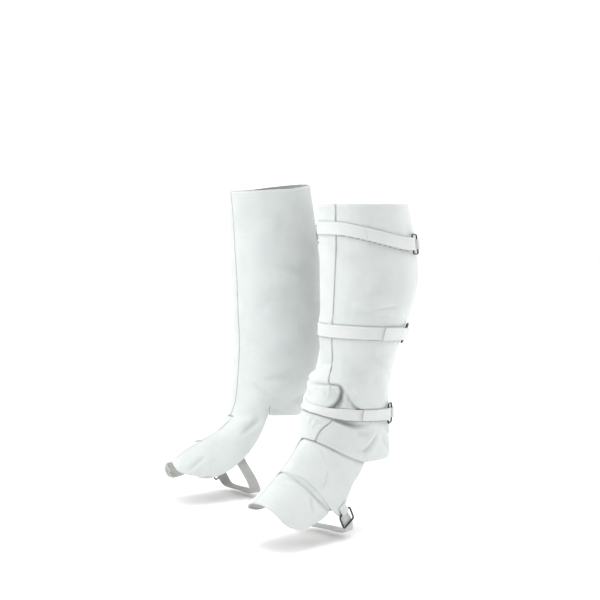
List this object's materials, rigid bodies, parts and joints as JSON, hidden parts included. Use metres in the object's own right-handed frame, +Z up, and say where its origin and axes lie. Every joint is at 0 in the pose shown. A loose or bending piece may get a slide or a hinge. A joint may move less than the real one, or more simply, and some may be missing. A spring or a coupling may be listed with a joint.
{
  "type": "pair of spats",
  "caption": "Pair of tall leather spats that wrap the shin and ankle and cover the top of the shoe, closed by side straps with wire buckles and held down by a strap under the foot.",
  "frame": {"origin": "midpoint between the two legs at calf height, 360 mm above the ground the shoes stand on", "axes": "+Z up, -Y the way the wearer faces, +X towards the wearer's left; the toes turn out 5 degrees and the left foot stands forward"},
  "size_m": [0.4305, 0.3847, 0.4966],
  "materials": {
    "white_leather": "matte split leather, off-white",
    "strap_leather": "smooth off-white leather",
    "black_wire": "semi-gloss black"
  },
  "bodies": {
    "root": {"left_inner_panel": "white_leather", "left_outer_panel": "white_leather", "left_instep_band": "white_leather", "left_toe_piece": "white_leather", "left_strap_top": "strap_leather", "left_chape_top": "strap_leather", "left_buckle_top": "black_wire", "left_strap_middle": "strap_leather", "left_chape_middle": "strap_leather", "left_buckle_middle": "black_wire", "left_strap_ankle": "strap_leather", "left_chape_ankle": "strap_leather", "left_buckle_ankle": "black_wire", "left_underfoot_strap": "strap_leather", "left_underfoot_buckle": "black_wire", "right_inner_panel": "white_leather", "right_outer_panel": "white_leather", "right_instep_band": "white_leather", "right_toe_piece": "white_leather", "right_strap_top": "strap_leather", "right_chape_top": "strap_leather", "right_buckle_top": "black_wire", "right_strap_middle": "strap_leather", "right_chape_middle": "strap_leather", "right_buckle_middle": "black_wire", "right_strap_ankle": "strap_leather", "right_chape_ankle": "strap_leather", "right_buckle_ankle": "black_wire", "right_underfoot_strap": "strap_leather", "right_underfoot_buckle": "black_wire"}
  },
  "joints": []
}
